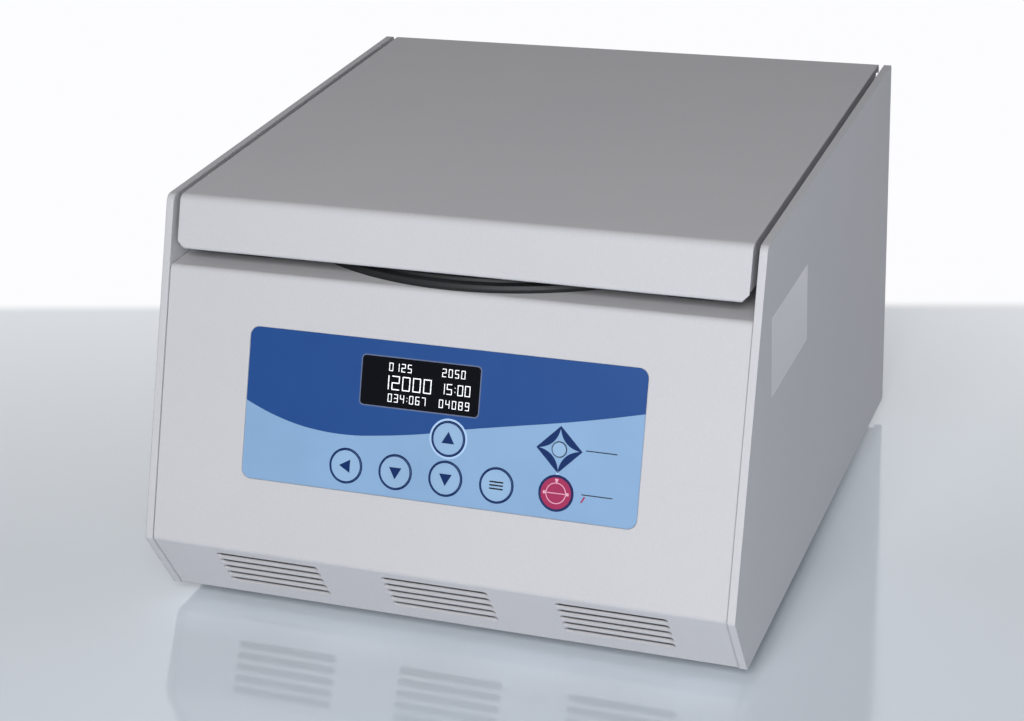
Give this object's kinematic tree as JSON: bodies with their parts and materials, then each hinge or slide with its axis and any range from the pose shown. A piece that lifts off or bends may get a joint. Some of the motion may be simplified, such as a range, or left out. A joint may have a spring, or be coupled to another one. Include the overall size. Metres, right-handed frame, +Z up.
{
  "type": "cytocentrifuge",
  "caption": "Bench-top centrifuge with a slanted keypad front, hinged lid, sealed chamber and tilting slide holders on a rotor.",
  "frame": {"origin": "middle of the case on the ground, under the feet", "axes": "+X to the instrument's right seen from the front, +Y to its back, +Z up"},
  "size_m": [0.32, 0.3517, 0.2235],
  "materials": {
    "case_paint": "fine textured powder coat",
    "zinc_sheet": "dull zinc plate",
    "screw_steel": "bright plate",
    "steel_bowl": "spun stainless steel",
    "black_rubber": "matte",
    "motor_alloy": "dark painted casting",
    "rotor_alloy": "satin turned",
    "clip_steel": "formed spring steel",
    "funnel_plastic": "moulded",
    "slide_glass": "clear",
    "black_plastic": "moulded",
    "board_green": "solder mask",
    "blue_overlay": "fine matte film",
    "display_glass": "clear film over dark",
    "key_blue": "fine matte film",
    "key_red": "fine matte film"
  },
  "bodies": {
    "root": {"left_side_panel": "case_paint", "right_side_panel": "case_paint", "front_deck_shell": "case_paint", "base_plate": "zinc_sheet", "rear_panel": "case_paint", "case_screws": "screw_steel", "rubber_feet": "black_rubber", "chamber_bowl": "steel_bowl", "chamber_seal": "black_rubber", "shaft_boot": "black_rubber", "motor_housing": "motor_alloy", "motor_bearings": "screw_steel", "motor_plate": "zinc_sheet", "damper_mounts": "black_rubber", "hinge_base_leaves": "screw_steel", "hinge_pins": "screw_steel", "latch_brackets": "zinc_sheet", "lock_solenoids": "black_plastic", "stay_bracket": "zinc_sheet", "keypad_overlay": "blue_overlay", "display_window": "display_glass", "display_module": "board_green", "control_board": "board_green", "power_board": "board_green", "power_inlet": "black_plastic", "fan_frame": "black_plastic", "fan_guard": "screw_steel"},
    "rotor": {"motor_shaft": "screw_steel", "rotor_head": "rotor_alloy", "rotor_nut": "black_plastic"},
    "lid": {"lid_shell": "case_paint", "lid_liner": "steel_bowl", "hinge_lid_leaves": "screw_steel", "lid_strikers": "zinc_sheet"},
    "latch_left": {"latch_hook_left": "zinc_sheet"},
    "latch_right": {"latch_hook_right": "zinc_sheet"},
    "plungers": {"solenoid_plungers": "screw_steel"},
    "stay_tube": {"stay_cylinder": "black_plastic"},
    "stay_piston": {"stay_rod": "screw_steel"},
    "fan": {"fan_impeller": "black_plastic"},
    "rocker": {"rocker_switch": "black_plastic"},
    "holder_1": {"slide_clip_1": "clip_steel", "sample_funnel_1": "funnel_plastic", "glass_slide_1": "slide_glass"},
    "holder_2": {"slide_clip_2": "clip_steel", "sample_funnel_2": "funnel_plastic", "glass_slide_2": "slide_glass"},
    "holder_3": {"slide_clip_3": "clip_steel", "sample_funnel_3": "funnel_plastic", "glass_slide_3": "slide_glass"},
    "holder_4": {"slide_clip_4": "clip_steel", "sample_funnel_4": "funnel_plastic", "glass_slide_4": "slide_glass"},
    "key_up_body": {"key_up": "key_blue"},
    "key_left_body": {"key_left": "key_blue"},
    "key_down_body": {"key_down": "key_blue"},
    "key_right_down_body": {"key_right_down": "key_blue"},
    "key_select_body": {"key_select": "key_blue"},
    "key_start_stop_body": {"key_start_stop": "key_red"},
    "key_program_body": {"key_program": "key_blue"}
  },
  "joints": [
    {"name": "lid_hinge", "type": "hinge", "parent": "root", "child": "lid", "pos_m": [0, 0.168, 0.216], "axis": [-1, 0, 0], "range_deg": [0, 75]},
    {"name": "stay_swing", "type": "hinge", "parent": "root", "child": "stay_tube", "pos_m": [-0.143, 0.15, 0.19125], "axis": [-1, 0, 0], "range_deg": [0, 72]},
    {"name": "stay_slide", "type": "slide", "parent": "stay_tube", "child": "stay_piston", "axis": [0, -0.985, 0.1724], "range_m": [0, 0.0371]},
    {"name": "rotor_spin", "type": "hinge", "parent": "root", "child": "rotor", "pos_m": [0, 0.0218, 0.09025], "axis": [0, 0, 1], "continuous": true},
    {"name": "holder_tilt_1", "type": "hinge", "parent": "rotor", "child": "holder_1", "pos_m": [0.103, 0.0218, 0.12625], "axis": [0, 1, 0], "range_deg": [0, 15]},
    {"name": "holder_tilt_2", "type": "hinge", "parent": "rotor", "child": "holder_2", "pos_m": [0, 0.1248, 0.12625], "axis": [-1, 0, 0], "range_deg": [0, 15]},
    {"name": "holder_tilt_3", "type": "hinge", "parent": "rotor", "child": "holder_3", "pos_m": [-0.103, 0.0218, 0.12625], "axis": [0, -1, 0], "range_deg": [0, 15]},
    {"name": "holder_tilt_4", "type": "hinge", "parent": "rotor", "child": "holder_4", "pos_m": [0, -0.0812, 0.12625], "axis": [1, 0, 0], "range_deg": [0, 15]},
    {"name": "latch_left_turn", "type": "hinge", "parent": "root", "child": "latch_left", "pos_m": [-0.118, -0.095, 0.142], "axis": [1, 0, 0], "range_deg": [0, 14], "stiffness_Nm_per_rad": 0.05},
    {"name": "latch_right_turn", "type": "hinge", "parent": "root", "child": "latch_right", "pos_m": [0.118, -0.095, 0.142], "axis": [1, 0, 0], "range_deg": [0, 14], "stiffness_Nm_per_rad": 0.05},
    {"name": "plunger_push", "type": "slide", "parent": "root", "child": "plungers", "axis": [0, 1, 0], "range_m": [0, 0.0024]},
    {"name": "fan_spin", "type": "hinge", "parent": "root", "child": "fan", "pos_m": [-0.085, 0.16, 0.076], "axis": [0, 1, 0], "continuous": true},
    {"name": "rocker_turn", "type": "hinge", "parent": "root", "child": "rocker", "pos_m": [0.1, 0.171, 0.078], "axis": [-1, 0, 0], "range_deg": [0, 14]},
    {"name": "key_up_press", "type": "slide", "parent": "root", "child": "key_up_body", "axis": [0, 0.9395, -0.3426], "range_m": [0, 0.0004], "stiffness_N_per_m": 200},
    {"name": "key_left_press", "type": "slide", "parent": "root", "child": "key_left_body", "axis": [0, 0.9395, -0.3426], "range_m": [0, 0.0004], "stiffness_N_per_m": 200},
    {"name": "key_down_press", "type": "slide", "parent": "root", "child": "key_down_body", "axis": [0, 0.9395, -0.3426], "range_m": [0, 0.0004], "stiffness_N_per_m": 200},
    {"name": "key_right_down_press", "type": "slide", "parent": "root", "child": "key_right_down_body", "axis": [0, 0.9395, -0.3426], "range_m": [0, 0.0004], "stiffness_N_per_m": 200},
    {"name": "key_select_press", "type": "slide", "parent": "root", "child": "key_select_body", "axis": [0, 0.9395, -0.3426], "range_m": [0, 0.0004], "stiffness_N_per_m": 200},
    {"name": "key_start_stop_press", "type": "slide", "parent": "root", "child": "key_start_stop_body", "axis": [0, 0.9395, -0.3426], "range_m": [0, 0.0004], "stiffness_N_per_m": 200},
    {"name": "key_program_press", "type": "slide", "parent": "root", "child": "key_program_body", "axis": [0, 0.9395, -0.3426], "range_m": [0, 0.0004], "stiffness_N_per_m": 200}
  ],
  "couplings": [
    {"joint": "stay_swing", "follows": "lid_hinge", "ratio": 0.95226},
    {"joint": "stay_slide", "follows": "lid_hinge", "m_per_rad": 0.028082},
    {"joint": "holder_tilt_2", "follows": "holder_tilt_1", "ratio": 1},
    {"joint": "holder_tilt_3", "follows": "holder_tilt_1", "ratio": 1},
    {"joint": "holder_tilt_4", "follows": "holder_tilt_1", "ratio": 1},
    {"joint": "latch_right_turn", "follows": "latch_left_turn", "ratio": 1},
    {"joint": "plunger_push", "follows": "latch_left_turn", "m_per_rad": 0.009413}
  ]
}
